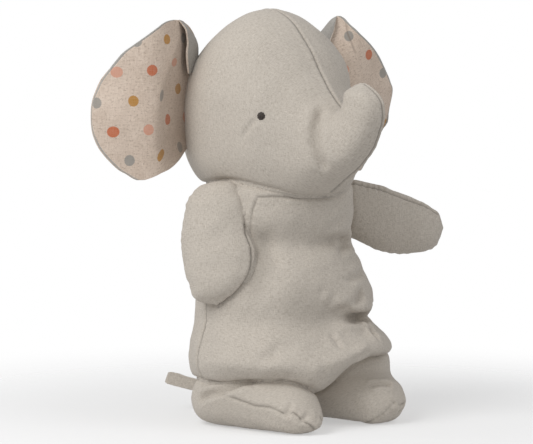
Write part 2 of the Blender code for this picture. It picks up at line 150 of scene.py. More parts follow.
RIGHT_ARM_STATIONS = [
    ((1, 27), (1, 27), 0),
    ((-20, 21.5), (17, 22.5), 9),
    ((-28, 12.5), (23, 14), 14),
    ((-32, 4), (22.3, 4), 16.5),
    ((-34.2, -9), (20.8, -9), 17.5),
    ((-34.8, -22), (21.8, -19), 18),
    ((-33.6, -34), (26.6, -31), 18.5),
    ((-31, -48), (27, -45), 18),
    ((-27, -60.5), (22.5, -56), 17),
    ((-20.5, -71), (14, -67), 12),
    ((-3, -76.5), (-3, -76.5), 0),
]
LEFT_ARM_STATIONS = [
    *round_end(SHOULDER_RADIUS, 0.0, 0.0, (0, 38, 67), SHOULDER_HALF_THICKNESS),
    ((-22.5, -6), (23.8, -6), 17),
    ((-25.5, -22), (24.2, -20), 17.5),
    ((-28.8, -40), (24.2, -31), 18),
    ((-27.6, -57), (22.5, -46), 17.5),
    ((-22.8, -72), (20.2, -61.5), 16),
    ((-17, -84), (17, -73.5), 12),
    ((-9.5, -88), (12.5, -83), 7),
    ((3, -89), (3, -89), 0),
]
LEG_STATIONS = [
    *round_end(HIP_RADIUS, HIP[1], HIP[2], (0, 38, 67)),
    ((-41, 43), (26, 36), 33),
    ((-52, 43), (32, 16), 37),
    ((-63, 44), (18, -0.5), 38),
    ((-76, 38), (-22, -0.5), 32),
    ((-87, 26), (-62, -0.5), 23),
    ((-93, 16), (-84, 1), 13.5),
    ((-97, 8), (-97, 8), 0),
]
# The belly sits higher on the left, and shows more of that leg.
LEFT_LEG_STATIONS = [
    *round_end(HIP_RADIUS, HIP[1], HIP[2], (0, 38, 67)),
    ((-58, 60), (30, 40), 45),
    ((-69, 56), (36, 17), 49),
    ((-71, 43), (18, -0.5), 47),
    ((-77, 37.5), (-22, -0.5), 39),
    ((-88, 33), (-62, -0.5), 28),
    ((-93.5, 25), (-84, 1), 18),
    ((-96, 14), (-96, 14), 0),
]
# Ear rows, bottom to top: height, inner edge and outer edge, along the cloth from the root.
RIGHT_EAR_ROWS = [
    (200.1, 53.5, 59.5), (201.6, 48, 63), (205, 38, 68.5), (208.5, 25, 74.5), (216, 10, 81.5),
    (225, -4, 88.5), (232.5, -12, 93), (240.5, -18, 97), (249, -20, 99), (257, -20, 98.5),
    (265, -20, 95.5), (272, -20, 91.7), (280, -20, 87.5), (288, -20, 81.7), (296, -20, 75.5),
    (302.5, -20, 70), (308.5, -19, 61.5), (315, -15, 52), (321.5, -8, 42.5), (325, -3, 36),
    (327.6, 3, 28), (328.8, 9, 19),
]
LEFT_EAR_ROWS = [
    (200.1, 53.5, 59.5), (201.6, 48, 63), (205, 38, 68.5), (208.5, 25, 74.5), (216, 10, 82),
    (225, -4, 92), (234, -14, 100), (241, -18, 103), (249, -20, 103), (257, -20, 102),
    (265, -20, 100.5), (271, -20, 97), (276, -19, 92), (280, -17, 89), (284, -13.5, 85.7),
    (288.5, -9.5, 82), (293, -5.5, 77.7), (297, -2, 74), (301.5, 1.5, 69.5), (306, 5, 64),
    (310, 8, 58.5), (314.5, 11, 52), (318.5, 14, 46.7), (323, 17, 42), (327, 20.3, 37),
    (331.5, 24.3, 32.5), (333.5, 27, 29),
]
# How far the left ear's cloth is turned forwards about its root, by height, in degrees.
LEFT_EAR_TWIST = [(198, -13), (211, -12.5), (224, -10), (232, -6.5), (241, -3), (256, 0), (272, 3.5),
                  (288, 4.5), (303, 6.8), (316, 7.5), (339, 8)]
EAR_PLAN = [
    (-22, 46, 45),
    (0, 65, 38),
    (41, 103, 23),
    (70, 131, 31),
    (97, 155, 43),
]


# ---------------------------------------------------------------- geometry helpers
def catmull_rom(rows, place):
    """Values at fractional indices of a list of equal-length rows."""
    rows = np.asarray(rows, float)
    last = len(rows) - 1
    index = np.clip(np.floor(np.asarray(place)).astype(int), 0, last - 1)
    t = (place - index)[..., None]
    a = rows[np.maximum(index - 1, 0)]
    b = rows[index]
    c = rows[index + 1]
    d = rows[np.minimum(index + 2, last)]
    return 0.5 * (2 * b + (c - a) * t + (2 * a - 5 * b + 4 * c - d) * t * t
                  + (3 * b - a - 3 * c + d) * t ** 3)


def rounded(value, power):
    return np.copysign(np.abs(value) ** (2 / power), value)


def smooth_step(low, high, value):
    t = np.clip((value - low) / (high - low), 0.0, 1.0)
    return t * t * (3 - 2 * t)


def ripple(points, length, seed):
    """A smooth, repeatable wander between about -1 and 1, with a typical wavelength."""
    total = np.zeros(len(points))
    for k in range(6):
        angle = seed * 1.7 + k * 2.399963
        tilt = math.sin(seed * 3.1 + k * 1.3)
        flat = math.sqrt(1 - tilt * tilt)
        direction = np.array([flat * math.cos(angle), flat * math.sin(angle), tilt])
        total += np.sin(points @ direction * (2 * math.pi / (length * (0.8 + 0.11 * k))) + 5.3 * k + seed)
    return total / 3.0


def euler_matrix(x, y, z):
    return np.array(Euler((x, y, z)).to_matrix())


def link_object(mesh):
    obj = bpy.data.objects.new(mesh.name, mesh)
    bpy.context.scene.collection.objects.link(obj)
    return obj


def to_mesh(bm, name):
    mesh = bpy.data.meshes.new(name)
    bm.to_mesh(mesh)
    bm.free()
    return mesh


def loop_verts(mesh):
    """The vertex of each corner of a mesh."""
    verts = np.zeros(len(mesh.loops), int)
    mesh.loops.foreach_get("vertex_index", verts)
    return verts


def lay_uv(mesh, places):
    """The cloth's UV map, in metres, from a place in millimetres for each corner."""
    layer = mesh.uv_layers.new(name="cloth")
    layer.data.foreach_set("uv", (places * MM).ravel().astype(np.float32))


def lay_painted_shade(mesh, values):
    """How much painted shade each vertex takes, from a seam, a fold or a hollow."""
    attribute = mesh.attributes.new("painted_shade", "FLOAT", "POINT")
    attribute.data.foreach_set("value", values.astype(np.float32))


class Place:
    """A turn and a shift from a form's own axes to the row frame, in millimetres."""

    def __init__(self, shift=(0, 0, 0), turn=None):
        self.turn = np.eye(3) if turn is None else turn
        self.shift = np.asarray(shift, float)

    def __call__(self, points):
        return points @ self.turn.T + self.shift

    def then(self, inner):
        """This place carrying a form that has a place of its own."""
        return Place(self(inner.shift), self.turn @ inner.turn)


BODY = Place(BODY_AXIS)


def arm_place(side, facing, tip, lean):
    shoulder = Place((side * SHOULDER[0], SHOULDER[1], SHOULDER[2]),
                     euler_matrix(-math.radians(tip), 0.0, side * math.radians(facing)))
    hang = Place(turn=euler_matrix(0.0, -side * math.radians(lean), 0.0))
    return BODY.then(shoulder).then(hang)


def leg_place(side, splay):
    hip = Place((side * HIP[0], HIP[1], HIP[2]), euler_matrix(0.0, 0.0, math.radians(splay) * side))
    return BODY.then(hip).then(Place((0, -HIP[1], -HIP[2])))


def ear_place(side, forward):
    axis = Place((side * EAR_AXIS[0], EAR_AXIS[1], EAR_AXIS[2]),
                 euler_matrix(0.0, 0.0, -side * math.radians(forward)))
    return BODY.then(axis).then(Place((-side * EAR_AXIS[0], -EAR_AXIS[1], -EAR_AXIS[2])))


def upright(across, u, v):
    return np.stack([across, u, v], -1)


def facing(across, u, v):
    return np.stack([u, across, v], -1)


class Skin:
    """A sewn form's outer surface, on a grid of rings along it and columns round it."""

    def __init__(self, name, stations, place, plane, rings, columns, low_power=2.0, floor=False,
                 panel_middles=(0.0, math.pi)):
        self.name = name
        self.place = place
        self.shape = (stations, plane, low_power, floor)
        self.rings, self.columns = rings, columns
        self.panel_middles = panel_middles
        along, turn = np.meshgrid(np.linspace(0, 1, rings + 1),
                                  np.linspace(-math.pi, math.pi, columns + 1), indexing="ij")
        self.local = self.surface(along, turn)
        steps = np.linalg.norm(np.diff(self.local, axis=1), axis=2)
        self.arc = np.concatenate([np.zeros((rings + 1, 1)), np.cumsum(steps, axis=1)], axis=1)
        climbs = np.linalg.norm(np.diff(self.local, axis=0), axis=2).mean(axis=1)
        self.length = np.concatenate([[0.0], np.cumsum(climbs)])
        self.make_mesh()

    def surface(self, along, turn):
        stations, plane, low_power, floor = self.shape
        rows = [(*first, *second, half) for first, second, half in stations]
        u1, v1, u2, v2, half = np.moveaxis(catmull_rom(rows, along * (len(rows) - 1)), -1, 0)
        power = np.where(np.sin(turn) < 0, low_power, 2.0)
        rise = rounded(np.sin(turn), power)
        across = rounded(np.cos(turn), power) * np.maximum(half, 0.0)
        points = plane(across, (u1 + u2) / 2 + (u1 - u2) / 2 * rise, (v1 + v2) / 2 + (v1 - v2) / 2 * rise)
        if floor:
            points[..., 2] = np.maximum(points[..., 2], 0.0)
        return points

    def make_mesh(self):
        bm = bmesh.new()
        bmesh.ops.create_uvsphere(bm, u_segments=self.columns, v_segments=self.rings, radius=1.0)
        co = np.array([vert.co for vert in bm.verts])
        self.row = np.rint(np.arccos(np.clip(co[:, 2], -1, 1)) / math.pi * self.rings).astype(int)
        turn = np.arctan2(co[:, 1], co[:, 0])
        self.column = np.rint((turn + math.pi) / (2 * math.pi) * self.columns).astype(int) % self.columns
        self.pole = (self.row == 0) | (self.row == self.rings)
        self.column[self.pole] = 0
        self.own = self.local[self.row, self.column]
        self.points = self.place(self.own)
        for vert, point in zip(bm.verts, self.points):
            vert.co = point
        if bm.calc_volume(signed=True) < 0:
            bmesh.ops.reverse_faces(bm, faces=bm.faces)
        self.mesh = to_mesh(bm, self.name)
        self.mesh.shade_smooth()
        self.painted_shade = np.zeros(len(self.points))
        self.lay_cloth()
        self.tree = self.make_tree()

    def make_tree(self):
        faces = [tuple(face.vertices) for face in self.mesh.polygons]
        return BVHTree.FromPolygons([Vector(point) for point in self.points], faces)

    def lay_cloth(self):
        """A UV map in metres: round the form from the middle of each panel, and along the form."""
        mesh = self.mesh
        verts = loop_verts(mesh)
        count = len(verts)
        totals = np.array([face.loop_total for face in mesh.polygons])
        owner = np.repeat(np.arange(len(totals)), totals)
        column = self.column[verts].astype(float)
        pole = self.pole[verts]
        high = np.full(len(totals), -1.0)
        low = np.full(len(totals), 1e9)
        np.maximum.at(high, owner[~pole], column[~pole])
        np.minimum.at(low, owner[~pole], column[~pole])
        wraps = (high - low) > self.columns / 2
        column[(wraps[owner]) & (column < self.columns / 2) & ~pole] += self.columns
        middle = np.zeros(len(totals))
        shared = np.zeros(len(totals))
        np.add.at(middle, owner[~pole], column[~pole])
        np.add.at(shared, owner[~pole], 1)
        middle /= shared
        column[pole] = middle[owner[pole]]
        row = self.row[verts]
        around = self.arc[:, -1]
        best = np.full(count, 1e9)
        across = np.zeros(count)
        for panel in self.panel_middles:
            for lap in (-1, 0, 1):
                start = (panel + math.pi) / (2 * math.pi) * self.columns + lap * self.columns
                gap = np.abs(middle - start)[owner]
                whole = np.floor(column / self.columns)
                inner = np.rint(column - whole * self.columns).astype(int)
                arc = self.arc[row, inner] + whole * around[row]
                start_whole = math.floor(start / self.columns)
                start_inner = int(round(start - start_whole * self.columns))
                here = arc - (self.arc[row, start_inner] + start_whole * around[row])
                nearer = gap < best
                across[nearer] = here[nearer]
                best[nearer] = gap[nearer]
        lay_uv(mesh, np.stack([across, self.length[row]], -1))

    def normals(self):
        self.mesh.vertices.foreach_set("co", self.points.ravel().astype(np.float32))
        self.mesh.update()
        found = np.zeros(len(self.points) * 3, np.float32)
        self.mesh.vertices.foreach_get("normal", found)
        return found.reshape(-1, 3).astype(float)

    def push(self, amount):
        """Move the surface along its normals, in millimetres."""
        self.points = self.points + self.normals() * amount[:, None]

    def reshape(self, change):
        """Move the form's points by a rule on its own axes."""
        self.own = change(self.own)
        self.points = self.place(self.own)
        self.tree = self.make_tree()

    def seam_distance(self, turn):
        """Along the cloth, from each point to the seam that runs along the form at a turn."""
        start = int(round((turn + math.pi) / (2 * math.pi) * self.columns)) % self.columns
        gap = np.abs(self.arc[self.row, self.column] - self.arc[self.row, start])
        return np.minimum(gap, self.arc[self.row, -1] - gap)

    def sew(self, distance, along, where=1.0, depth=1.0, pucker=0.35, pitch=7.0, seed=0.0):
        """A sewn seam: a tight valley between two soft ridges, with short puckers across it, and painted
        shade along its line.
        """
        valley = np.exp(-(distance / 1.1) ** 2)
        ridge = np.exp(-((distance - 3.4) / 2.4) ** 2)
        wander = 1.4 * np.sin(along / 19.0 + seed) + 0.9 * np.sin(along / 7.3 + 2 * seed)
        gathers = np.sin(along * (2 * math.pi / pitch) + wander) * np.exp(-(distance / 6.0) ** 2)
        gathers = gathers * (0.5 + 0.5 * ripple(self.points, 26.0, seed + 3.0))
        self.push(where * (-depth * valley + 0.38 * depth * ridge + pucker * gathers))
        # Painted shade along the seam's valley.
        self.painted_shade = np.maximum(self.painted_shade, where * np.exp(-(distance / 0.75) ** 2))

    def trace(self, name):
        """The points of this form that the camera sees along a named path of the picture."""
        spots = np.asarray(PATHS[name], float)
        eye = Vector(VIEW_PLACE)
        found = []
        for start, end in zip(spots[:-1], spots[1:]):
            count = max(2, int(np.linalg.norm(end - start) / 1.2))
            for t in np.linspace(0, 1, count, endpoint=False):
                hit, _, _, _ = self.tree.ray_cast(eye, sight_line(start + (end - start) * t))
                if hit:
                    found.append(hit)
        hit, _, _, _ = self.tree.ray_cast(eye, sight_line(spots[-1]))
        if hit:
            found.append(hit)
        points = np.array([tuple(point) for point in found])
        if len(points) < 2:
            raise ValueError(f"{self.name}: the path {name} misses the form")
        return points

    def path_reach(self, path):
        """How far each point is from a path, and how far along it the nearest place is, 0 to 1."""
        best = np.full(len(self.points), 1e9)
        place = np.zeros(len(self.points))
        low, high = path.min(axis=0) - 40, path.max(axis=0) + 40
        near = np.all((self.points > low) & (self.points < high), axis=1)
        base = self.points[near]
        near_best = np.full(len(base), 1e9)
        near_place = np.zeros(len(base))
        lengths = np.linalg.norm(np.diff(path, axis=0), axis=1)
        sums = np.concatenate([[0], np.cumsum(lengths)])
        for i, (start, end) in enumerate(zip(path[:-1], path[1:])):
            if lengths[i] < 1e-6:
                continue
            t = np.clip((base - start) @ (end - start) / lengths[i] ** 2, 0, 1)
            gap = np.linalg.norm(base - start - t[:, None] * (end - start), axis=1)
            closer = gap < near_best
            near_best[closer] = gap[closer]
            near_place[closer] = ((sums[i] + t * lengths[i]) / sums[-1])[closer]
        best[near] = near_best
        place[near] = near_place
        return best, place, sums[-1]

    def fold(self, path, depth, width, ends=(0.15, 0.15), lip=0.35, dark=0.0):
        """A soft valley along a path, with a lip on both sides, fading at its ends, with shade painted into
        the valley as dark asks.
        """
        gap, place, _ = self.path_reach(path)
        fade = np.ones(len(gap))
        if ends[0]:
            fade *= smooth_step(0, ends[0], place)
        if ends[1]:
            fade *= smooth_step(0, ends[1], 1 - place)
        valley = np.exp(-(gap / width) ** 2)
        ridge = np.exp(-((gap - 2.1 * width) / (1.1 * width)) ** 2)
        self.push(fade * depth * (lip * ridge - valley))
        # Painted shade in the valley, as strong as dark asks.
        if dark:
            self.painted_shade = np.maximum(self.painted_shade, dark * fade * np.exp(-(gap / (0.6 * width)) ** 2))

    def stitch_path(self, path, depth=0.8, pucker=0.3, pitch=6.0, seed=0.0):
        """A sewn seam along a path."""
        gap, place, length = self.path_reach(path)
        self.sew(gap, place * length, where=np.where(gap < 1e8, 1.0, 0.0), depth=depth,
                 pucker=pucker, pitch=pitch, seed=seed)

    def nestle(self, others, depth=1.6, reach=5.0):
        """Draw the surface in where it meets another form, as a sewn-on limb pulls it."""
        amount = np.zeros(len(self.points))
        for other in others:
            low = other.points.min(axis=0) - reach
            high = other.points.max(axis=0) + reach
            near = np.nonzero(np.all((self.points > low) & (self.points < high), axis=1))[0]
            for index in near:
                point = Vector(self.points[index])
                hit, normal, _, gap = other.tree.find_nearest(point, reach)
                if hit and (point - hit).dot(normal) > 0:
                    amount[index] = max(amount[index], math.exp(-(gap / (0.45 * reach)) ** 2))
        self.push(-depth * amount)

    def finish(self, floor=False):
        if floor:
            self.points[:, 2] = np.maximum(self.points[:, 2], 0.0)
        self.mesh.vertices.foreach_set("co", (self.points * MM).ravel().astype(np.float32))
        lay_painted_shade(self.mesh, self.painted_shade)
        self.mesh.update()
        return link_object(self.mesh)


# ---------------------------------------------------------------- materials
class Shader:
    """A node material under construction."""

    def __init__(self, name, roughness=0.9, sheen=0.0):
        self.material = bpy.data.materials.new(name)
        self.material.use_nodes = True
        self.tree = self.material.node_tree
        self.surface = self.tree.nodes["Principled BSDF"]
        self.surface.inputs["Roughness"].default_value = roughness
        self.surface.inputs["Specular IOR Level"].default_value = 0.25
        self.surface.inputs["Sheen Weight"].default_value = sheen
        self.surface.inputs["Sheen Roughness"].default_value = 0.6

    def node(self, kind, settings=None, output=0, **inputs):
        """Any node: its settings first, then its inputs as values or links."""
        node = self.tree.nodes.new(kind)
        for key, value in (settings or {}).items():
            setattr(node, key, value)
        for key, value in inputs.items():
            socket = node.inputs[int(key[1:])] if key[0] == "_" else node.inputs[key]
            self.feed(socket, value)
        return Map(self, node.outputs[output])

    def feed(self, socket, value):
        if isinstance(value, Map):
            self.tree.links.new(value.socket, socket)
        else:
            socket.default_value = value

    def object_place(self):
        return self.node("ShaderNodeTexCoord", output=3)

    def cloth(self):
        return self.node("ShaderNodeUVMap", {"uv_map": "cloth"})

    def attribute(self, name):
        return self.node("ShaderNodeAttribute", {"attribute_name": name}, output=2)

    def noise(self, place, scale, detail=2.0, roughness=0.5):
        return self.node("ShaderNodeTexNoise", {"noise_dimensions": "3D"}, Vector=place, Scale=scale,
                         Detail=detail, Roughness=roughness, Distortion=0.0)

    def stretched(self, place, scale, shift=(0, 0, 0)):
        return self.node("ShaderNodeMapping", Vector=place, Scale=scale, Location=shift)

    def split(self, place):
        node = self.tree.nodes.new("ShaderNodeSeparateXYZ")
        self.feed(node.inputs[0], place)
        return Map(self, node.outputs[0]), Map(self, node.outputs[1])

    def mix(self, amount, first, second):
        """A colour between two."""
        node = self.tree.nodes.new("ShaderNodeMix")
        node.data_type = "RGBA"
        self.feed(node.inputs[0], amount)
        self.feed(node.inputs[6], first)
        self.feed(node.inputs[7], second)
        return Map(self, node.outputs[2])

    def bump(self, height, strength, distance):
        return self.node("ShaderNodeBump", Height=height, Strength=strength, Distance=distance)

    def colour(self, value):
        self.feed(self.surface.inputs["Base Color"], value)

    def normal(self, value):
        self.feed(self.surface.inputs["Normal"], value)

    def rough(self, value):
        self.feed(self.surface.inputs["Roughness"], value)


class Map:
    """A value that varies over a surface, for arithmetic in a material."""

    def __init__(self, shader, socket):
        self.shader = shader
        self.socket = socket

    def math(self, operation, other=0.0, third=0.0):
        return self.shader.node("ShaderNodeMath", {"operation": operation}, _0=self, _1=other, _2=third)

    def __add__(self, other):
        return self.math("ADD", other)

    def __sub__(self, other):
        return self.math("SUBTRACT", other)

    def __mul__(self, other):
        return self.math("MULTIPLY", other)

    def between(self, low, high):
        """0 below low, 1 above high, smooth between."""
        return self.shader.node("ShaderNodeMapRange", {"interpolation_type": "SMOOTHSTEP"},
                                Value=self, _1=low, _2=high, _3=0.0, _4=1.0)


def rgba(red, green, blue):
    """A colour as it looks on a screen, 0 to 255, turned into the linear one that a shader takes."""
    linear = []
    for value in (red, green, blue):
        value /= 255.0
        linear.append(value / 12.92 if value <= 0.04045 else ((value + 0.055) / 1.055) ** 2.4)
    return (*linear, 1.0)


def woven(shader, place, pitch, slub):
    """Warp and weft threads of uneven thickness: a height between 0 and 1."""
    across = shader.noise(shader.stretched(place, (1.0 / pitch, slub, 1.0)), 1.0, 1.0)
    along = shader.noise(shader.stretched(place, (slub, 1.0 / pitch, 1.0), shift=(7.3, 2.1, 0.0)), 1.0, 1.0)
    return across, along


# How deep the weave stands, in metres, and how much of a colour is left under painted shade.
WEAVE_RISE = 0.00035
CREASE_SHADE = 0.72


def make_linen(name, light, dark):
    """Washed linen: uneven threads both ways, with pale slubs, and painted shade where seams, folds and
    hollows are.
    """
    shader = Shader(name, roughness=0.93, sheen=0.12)
    cloth = shader.cloth()
    place = shader.object_place()
    warp, weft = woven(shader, cloth, 0.0008, 330.0)
    fine = shader.noise(cloth, 1000.0, 2.0)
    slubs = shader.noise(shader.stretched(cloth, (150.0, 900.0, 1.0)), 1.0, 2.0)
    mottle = shader.noise(place, 55.0, 3.0, 0.6)
    tone = (warp + weft) * 0.6 + (fine - 0.5) * 0.3 + (mottle - 0.5) * 0.12 + (slubs - 0.5) * 0.2
    colour = shader.mix(tone.between(0.22, 0.78), dark, light)
    bright = tuple(min(1.0, 1.3 * channel) for channel in light[:3]) + (1.0,)
    for stretch in ((190.0, 950.0, 1.0), (950.0, 210.0, 1.0)):
        slub = shader.noise(shader.stretched(cloth, stretch, shift=(stretch[0], 0.0, 0.0)), 1.0, 1.0)
        colour = shader.mix(slub.between(0.66, 0.74) * 0.4, colour, bright)
    # Painted shade from seams, folds and hollows, toward a darker copy of the dark thread colour.
    painted_shade = shader.attribute("painted_shade")
    shaded = tuple(channel * CREASE_SHADE ** 2 for channel in dark[:3]) + (1.0,)
    colour = shader.mix(painted_shade * 0.75, colour, shaded)
    shader.colour(colour)
    height = (warp + weft) + fine * 0.8 + slubs * 0.7
    shader.normal(shader.bump(height, 0.55, WEAVE_RISE))
    shader.rough(tone.between(0.2, 0.8) * 0.08 + 0.88)
    return shader.material


# Printed dots of the lining, in metres: a staggered lattice on the ear's flat cloth, given by one
# mustard dot, the step along a row and the step between rows.
DOT_RADIUS = 0.0044
DOT_EDGE = 0.00015
DOT_ORIGIN = (0.0632, 0.2636)
DOT_STEP = (0.0283, -0.0014)
DOT_ROW_STEP = (-0.0015, 0.0238)
DOT_COLOURS = {
    "mustard": rgba(182, 128, 40),
    "terracotta": rgba(196, 100, 54),
    "pink": rgba(214, 155, 131),
    "grey": rgba(152, 149, 143),
}


def make_lining(name, light, dark):
    """Oatmeal linen with dots: rows of mustard and grey between rows of pink and terracotta."""
    shader = Shader(name, roughness=0.92, sheen=0.1)
    cloth = shader.cloth()
    place = shader.object_place()
    warp, weft = woven(shader, cloth, 0.00045, 130.0)
    fine = shader.noise(cloth, 2300.0, 2.0)
    flecks = shader.noise(shader.stretched(cloth, (420.0, 640.0, 1.0)), 1.0, 3.0, 0.7)
    mottle = shader.noise(place, 45.0, 3.0, 0.6)
    tone = (warp + weft) * 0.5 + (fine - 0.5) * 0.5 + (mottle - 0.5) * 0.45
    colour = shader.mix(tone.between(0.25, 0.75), dark, light)
    colour = shader.mix(flecks.between(0.52, 0.72) * 0.6, colour, rgba(146, 124, 104))
    colour = shader.mix(flecks.between(0.42, 0.30) * 0.5, colour, rgba(236, 224, 210))
    across, up = shader.split(cloth)
    across = across - DOT_ORIGIN[0]
    up = up - DOT_ORIGIN[1]
    spread = DOT_STEP[0] * DOT_ROW_STEP[1] - DOT_STEP[1] * DOT_ROW_STEP[0]
    row = up * (DOT_STEP[0] / spread) - across * (DOT_STEP[1] / spread)
    column = across * (DOT_ROW_STEP[1] / spread) - up * (DOT_ROW_STEP[0] / spread)
    near_row = row.math("ROUND")
    odd = near_row.math("FLOORED_MODULO", 2.0)
    near_column = (column - odd * 0.5).math("ROUND")
    row_gap = row - near_row
    column_gap = column - near_column - odd * 0.5
    across_gap = column_gap * DOT_STEP[0] + row_gap * DOT_ROW_STEP[0]
    up_gap = column_gap * DOT_STEP[1] + row_gap * DOT_ROW_STEP[1]
    wobble = (shader.noise(cloth, 1100.0, 1.0) - 0.5) * 0.0007
    gap = (across_gap * across_gap + up_gap * up_gap).math("SQRT") + wobble
    inside = gap.between(DOT_RADIUS + DOT_EDGE, DOT_RADIUS - DOT_EDGE)
    pair = (near_row * 0.5).math("FLOOR")
    second = (near_column + pair).math("FLOORED_MODULO", 2.0)
    even_row = shader.mix(second, DOT_COLOURS["mustard"], DOT_COLOURS["grey"])
    odd_row = shader.mix(second, DOT_COLOURS["pink"], DOT_COLOURS["terracotta"])
    dot = shader.mix(odd, even_row, odd_row)
    dot = shader.mix(tone.between(0.25, 0.75) * 0.2, dot, light)
    colour = shader.mix(inside * 0.95, colour, dot)
    # Painted shade on the lining: at its sewn edge, in the hollow beside the head and along a ridge.
    painted_shade = shader.attribute("painted_shade")
    colour = shader.mix(painted_shade * 0.7, colour, rgba(120, 100, 84))
    shader.colour(colour)
    height = (warp + weft) + fine * 0.8
    shader.normal(shader.bump(height, 0.5, WEAVE_RISE))
    return shader.material


def make_thread(name, light, dark):
    shader = Shader(name, roughness=0.55, sheen=0.2)
    place = shader.object_place()
    fine = shader.noise(place, 1800.0, 2.0)
    shader.colour(shader.mix(fine.between(0.35, 0.7), dark, light))
    shader.normal(shader.bump(fine, 0.4, 0.0003))
    return shader.material


LINEN = make_linen("greige_linen", rgba(199, 191, 180), rgba(170, 161, 149))
# The body's greige linen made darker and greyer as painted shade, for the ear's back and folded corners.
EAR_LINEN_PAINTED_SHADE = make_linen("ear_linen_painted_shade", rgba(184, 180, 174), rgba(160, 156, 149))
LINING = make_lining("dotted_lining", rgba(229, 212, 196), rgba(202, 183, 166))
PLAIN_LINING = make_linen("plain_lining", rgba(226, 212, 197), rgba(198, 180, 164))
EYE_THREAD = make_thread("eye_thread", rgba(74, 63, 55), rgba(34, 28, 24))


# ---------------------------------------------------------------- the sewn forms
torso = Skin("torso_cover", TORSO_STATIONS, BODY, upright, 208, 416, panel_middles=(math.pi / 2,))
head = Skin("head_cover", HEAD_STATIONS, BODY, upright, 224, 384, low_power=HEAD_LOW_POWER)
arm_right = Skin("arm_right_cover", RIGHT_ARM_STATIONS, arm_place(RIGHT, **RIGHT_ARM_TURN), facing, 112, 128)
arm_left = Skin("arm_left_cover", LEFT_ARM_STATIONS, arm_place(LEFT, **LEFT_ARM_TURN), facing, 112, 128)
leg_right = Skin("leg_right_cover", LEG_STATIONS, leg_place(RIGHT, RIGHT_FOOT_SPLAY), upright, 144, 176,
                 low_power=LEG_LOW_POWER, floor=True)
leg_left = Skin("leg_left_cover", LEFT_LEG_STATIONS, leg_place(LEFT, LEFT_FOOT_SPLAY), upright, 144, 176,
                low_power=LEG_LOW_POWER, floor=True)

# How far the belly's underside is lifted, across the picture from its left to its right.
BELLY_LIFT = [(-70, 1), (-40, 5), (-20, 7), (5, 5), (28, -5), (38, 0), (48, 8), (62, 19), (78, 25), (88, 22),
              (98, 16)]
# The share of the lift that each height takes.
LIFT_BY_HEIGHT = [(25, 1.0), (50, 0.42), (75, 0.08), (95, 0.0)]
# How far the right hip and the left flank are drawn to the picture's right, by height.
HIP_BY_HEIGHT = [(30, -4.0), (45, 0.0), (60, 3.5), (75, 4.5), (95, 2.0), (110, 0.0)]
FLANK_BY_HEIGHT = [(66, 0.0), (76, -3.0), (84, -5.0), (90, 0.0), (96, 4.5), (106, 3.5), (122, 0.0)]
# How far the side of the trunk and cheek that the picture hardly shows is drawn in, by height.
CHEEK_BY_HEIGHT = [(180, 0.0), (195, -6.0), (212, -9.5), (230, -8.0), (250, -7.0), (275, -6.0), (297, 0.0)]
# How far the seam down the trunk is moved out there.
SEAM_BY_HEIGHT = [(205, 0.0), (225, 2.5), (250, 2.5), (270, 0.0)]


def settle_belly(own):
    """The underside rises over the legs, most on the left, and sags between them."""
    across = own @ VIEW_RIGHT
    weight = np.interp(own[:, 2], *zip(*LIFT_BY_HEIGHT)) * smooth_step(0.0, -46.0, own[:, 1])
    moved = own.copy()
    moved[:, 2] += weight * np.interp(across, *zip(*BELLY_LIFT))
    drawn = np.interp(own[:, 2], *zip(*HIP_BY_HEIGHT)) * smooth_step(-40.0, -68.0, across)
    drawn += np.interp(own[:, 2], *zip(*FLANK_BY_HEIGHT)) * smooth_step(45.0, 80.0, across)
    return moved + drawn[:, None] * VIEW_RIGHT


def slim_trunk(own):
    """The trunk and cheek are narrower on their left than their stations make them."""
    across = own @ VIEW_RIGHT
    near = smooth_step(35.0, 78.0, across)
    drawn = np.interp(own[:, 2], *zip(*CHEEK_BY_HEIGHT)) * smooth_step(0.0, 13.0, own[:, 0]) * near
    drawn += np.interp(own[:, 2], *zip(*SEAM_BY_HEIGHT)) * near
    return own + drawn[:, None] * VIEW_RIGHT


torso.reshape(settle_belly)
head.reshape(slim_trunk)
arms = (arm_right, arm_left)
legs = (leg_right, leg_left)


def mirrored(path, to_form, from_form):
    """A path of one leg carried to the other."""
    own = (path - from_form.place.shift) @ from_form.place.turn
    own = own * np.array([-1.0, 1.0, 1.0])
    return to_form.place(own)


